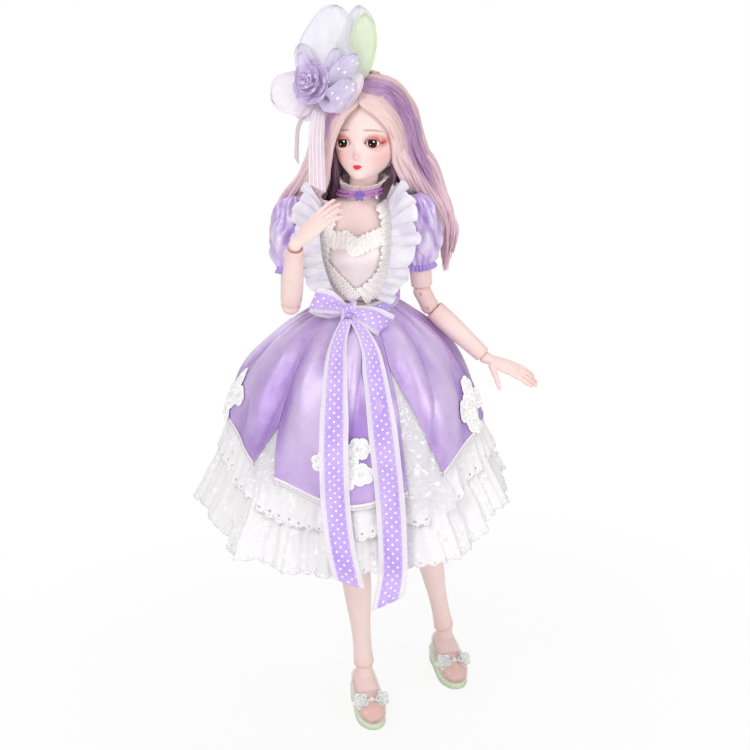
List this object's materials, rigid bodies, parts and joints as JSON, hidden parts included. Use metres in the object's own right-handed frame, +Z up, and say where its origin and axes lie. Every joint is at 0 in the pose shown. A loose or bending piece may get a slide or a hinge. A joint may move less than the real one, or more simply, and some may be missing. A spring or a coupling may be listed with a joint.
{
  "type": "jointed fashion doll in a layered dress",
  "caption": "Standing jointed doll with shell limbs on balls and pins, a wig with a petal hat, a satin dress over a lace flounce with a dotted bow, and platform pumps; limbs pose by hand",
  "frame": {"origin": "On the floor under the middle of the doll's box, between the two soles.", "axes": "Z is up along the standing doll, the doll faces -Y, and +X is the doll's left."},
  "size_m": [0.3194, 0.2428, 0.678],
  "materials": {
    "skin": "matte",
    "pin": "matte",
    "eye": "gloss",
    "hair": "satin",
    "satin": "satin",
    "cream": "satin",
    "lace": "matte",
    "mesh": "matte",
    "frill": "matte",
    "ribbon": "satin",
    "organza": "satin",
    "leaf": "satin",
    "rose": "satin",
    "cord": "satin",
    "sole": "matte",
    "shoe": "gloss"
  },
  "bodies": {
    "pelvis": {"pelvis": "skin", "waist_hub": "pin", "skirt": "satin", "petticoat": "lace", "sash": "ribbon", "bow": "ribbon", "ribbon_tail_r": "ribbon", "ribbon_tail_l": "ribbon"},
    "chest": {"chest": "skin", "bodice": "cream", "yoke_collar": "mesh", "choker": "cord", "choker_flower": "rose", "frill_r": "frill", "frill_l": "frill", "wig_lengths_lower": "hair"},
    "neck": {"neck": "skin", "wig_lengths_upper": "hair"},
    "head": {"head_shell": "skin", "head_cap": "skin", "eye_r": "eye", "eye_l": "eye", "wig_crown": "hair", "hat_base": "organza", "hat_petals": "organza", "hat_leaf": "leaf", "hat_rose": "rose", "hat_ribbon": "organza"},
    "shoulder_ball_r": {"shoulder_ball_r": "skin"},
    "upper_arm_r": {"upper_arm_r": "skin", "sleeve_r": "satin"},
    "elbow_link_r": {"elbow_link_r": "skin"},
    "forearm_r": {"forearm_r": "skin"},
    "wrist_peg_r": {"wrist_peg_r": "pin"},
    "hand_r": {"hand_r": "skin"},
    "hip_ball_r": {"hip_ball_r": "skin"},
    "thigh_r": {"thigh_r": "skin"},
    "knee_link_r": {"knee_link_r": "skin"},
    "shin_r": {"shin_r": "skin"},
    "ankle_peg_r": {"ankle_peg_r": "pin"},
    "foot_r": {"foot_r": "skin", "shoe_sole_r": "sole", "shoe_upper_r": "shoe", "shoe_bow_r": "organza"},
    "shoulder_ball_l": {"shoulder_ball_l": "skin"},
    "upper_arm_l": {"upper_arm_l": "skin", "sleeve_l": "satin"},
    "elbow_link_l": {"elbow_link_l": "skin"},
    "forearm_l": {"forearm_l": "skin"},
    "wrist_peg_l": {"wrist_peg_l": "pin"},
    "hand_l": {"hand_l": "skin"},
    "hip_ball_l": {"hip_ball_l": "skin"},
    "thigh_l": {"thigh_l": "skin"},
    "knee_link_l": {"knee_link_l": "skin"},
    "shin_l": {"shin_l": "skin"},
    "ankle_peg_l": {"ankle_peg_l": "pin"},
    "foot_l": {"foot_l": "skin", "shoe_sole_l": "sole", "shoe_upper_l": "shoe", "shoe_bow_l": "organza"}
  },
  "joints": [
    {"name": "waist_turn", "type": "hinge", "parent": "pelvis", "child": "chest", "pos_m": [-0.00558, 0.00538, 0.426], "axis": [0, 0, 1], "range_deg": [-25, 25]},
    {"name": "neck_nod", "type": "hinge", "parent": "chest", "child": "neck", "pos_m": [-0.00259, 0.00538, 0.512], "axis": [1, 0, 0], "range_deg": [-10, 8], "deforming": ["wig_lengths_upper", "wig_lengths_lower"]},
    {"name": "head_turn", "type": "hinge", "parent": "neck", "child": "head", "pos_m": [0.00725, 0.00538, 0.5487], "axis": [0.2588, 0, 0.9659], "range_deg": [-40, 40], "deforming": ["wig_lengths_upper", "hat_ribbon"]},
    {"name": "shoulder_swing_r", "type": "hinge", "parent": "chest", "child": "shoulder_ball_r", "pos_m": [-0.06058, 0.00538, 0.503], "axis": [-1, 0, 0], "range_deg": [-20, 35], "deforming": ["frill_r"]},
    {"name": "shoulder_raise_r", "type": "hinge", "parent": "shoulder_ball_r", "child": "upper_arm_r", "pos_m": [-0.06058, 0.00538, 0.503], "axis": [0, 1, 0], "range_deg": [0, 50]},
    {"name": "elbow_upper_r", "type": "hinge", "parent": "upper_arm_r", "child": "elbow_link_r", "pos_m": [-0.06747, -0.01892, 0.42815], "axis": [0.9934, 0.0446, -0.1058], "range_deg": [-2, 40]},
    {"name": "elbow_lower_r", "type": "hinge", "parent": "elbow_link_r", "child": "forearm_r", "pos_m": [-0.06694, -0.03386, 0.42682], "axis": [0.9934, 0.0446, -0.1058], "range_deg": [-2, 40]},
    {"name": "wrist_turn_r", "type": "hinge", "parent": "forearm_r", "child": "wrist_peg_r", "pos_m": [-0.05858, -0.06762, 0.491], "axis": [0.1144, -0.4626, 0.8792], "range_deg": [-30, 30]},
    {"name": "wrist_bend_r", "type": "hinge", "parent": "wrist_peg_r", "child": "hand_r", "pos_m": [-0.05858, -0.06762, 0.491], "axis": [-0.5191, 0.7267, 0.4499], "range_deg": [-50, 8]},
    {"name": "hip_swing_r", "type": "hinge", "parent": "pelvis", "child": "hip_ball_r", "pos_m": [-0.03458, 0.00538, 0.335], "axis": [-1, 0, 0], "range_deg": [-25, 10]},
    {"name": "hip_spread_r", "type": "hinge", "parent": "hip_ball_r", "child": "thigh_r", "pos_m": [-0.03458, 0.00538, 0.335], "axis": [0, 1, 0], "range_deg": [-2, 18]},
    {"name": "knee_upper_r", "type": "hinge", "parent": "thigh_r", "child": "knee_link_r", "pos_m": [-0.01999, -0.03574, 0.20514], "axis": [0.9869, 0.148, 0.064], "range_deg": [-12, 28]},
    {"name": "knee_lower_r", "type": "hinge", "parent": "knee_link_r", "child": "shin_r", "pos_m": [-0.01839, -0.03694, 0.18322], "axis": [0.9869, 0.148, 0.064], "range_deg": [-12, 28]},
    {"name": "ankle_turn_r", "type": "hinge", "parent": "shin_r", "child": "ankle_peg_r", "pos_m": [-0.01358, -0.00962, 0.046], "axis": [0.0343, 0.1951, -0.9802], "range_deg": [-20, 20]},
    {"name": "ankle_bend_r", "type": "hinge", "parent": "ankle_peg_r", "child": "foot_r", "pos_m": [-0.01358, -0.00962, 0.046], "axis": [0.9817, 0.1774, 0.0697], "range_deg": [-20, 20]},
    {"name": "shoulder_swing_l", "type": "hinge", "parent": "chest", "child": "shoulder_ball_l", "pos_m": [0.04942, 0.00538, 0.503], "axis": [-1, 0, 0], "range_deg": [-25, 60], "deforming": ["frill_l"]},
    {"name": "shoulder_raise_l", "type": "hinge", "parent": "shoulder_ball_l", "child": "upper_arm_l", "pos_m": [0.04942, 0.00538, 0.503], "axis": [0, -1, 0], "range_deg": [0, 60]},
    {"name": "elbow_upper_l", "type": "hinge", "parent": "upper_arm_l", "child": "elbow_link_l", "pos_m": [0.05443, 0.01004, 0.4243], "axis": [-0.2419, -0.9676, -0.0727], "range_deg": [0, 45]},
    {"name": "elbow_lower_l", "type": "hinge", "parent": "elbow_link_l", "child": "forearm_l", "pos_m": [0.06066, 0.00951, 0.41066], "axis": [-0.2419, -0.9676, -0.0727], "range_deg": [0, 45]},
    {"name": "wrist_turn_l", "type": "hinge", "parent": "forearm_l", "child": "wrist_peg_l", "pos_m": [0.11242, 0.00038, 0.36], "axis": [0.709, -0.1251, -0.694], "range_deg": [-60, 60]},
    {"name": "wrist_bend_l", "type": "hinge", "parent": "wrist_peg_l", "child": "hand_l", "pos_m": [0.11242, 0.00038, 0.36], "axis": [0.4128, 0.8715, 0.2646], "range_deg": [-15, 50]},
    {"name": "hip_swing_l", "type": "hinge", "parent": "pelvis", "child": "hip_ball_l", "pos_m": [0.02341, 0.00538, 0.335], "axis": [-1, 0, 0], "range_deg": [-10, 30]},
    {"name": "hip_spread_l", "type": "hinge", "parent": "hip_ball_l", "child": "thigh_l", "pos_m": [0.02341, 0.00538, 0.335], "axis": [0, -1, 0], "range_deg": [-5, 12]},
    {"name": "knee_upper_l", "type": "hinge", "parent": "thigh_l", "child": "knee_link_l", "pos_m": [0.04613, 0.02598, 0.20148], "axis": [0.9714, 0.1457, 0.1877], "range_deg": [-5, 30]},
    {"name": "knee_lower_l", "type": "hinge", "parent": "knee_link_l", "child": "shin_l", "pos_m": [0.04959, 0.03032, 0.18019], "axis": [0.9714, 0.1457, 0.1877], "range_deg": [-5, 30]},
    {"name": "ankle_turn_l", "type": "hinge", "parent": "shin_l", "child": "ankle_peg_l", "pos_m": [0.07042, 0.06438, 0.046], "axis": [0.1487, 0.2433, -0.9585], "range_deg": [-20, 20]},
    {"name": "ankle_bend_l", "type": "hinge", "parent": "ankle_peg_l", "child": "foot_l", "pos_m": [0.07042, 0.06438, 0.046], "axis": [0.9641, 0.18, 0.1953], "range_deg": [-20, 20]}
  ],
  "couplings": [
    {"joint": "elbow_lower_r", "follows": "elbow_upper_r", "ratio": 1},
    {"joint": "knee_lower_r", "follows": "knee_upper_r", "ratio": 1},
    {"joint": "elbow_lower_l", "follows": "elbow_upper_l", "ratio": 1},
    {"joint": "knee_lower_l", "follows": "knee_upper_l", "ratio": 1}
  ]
}
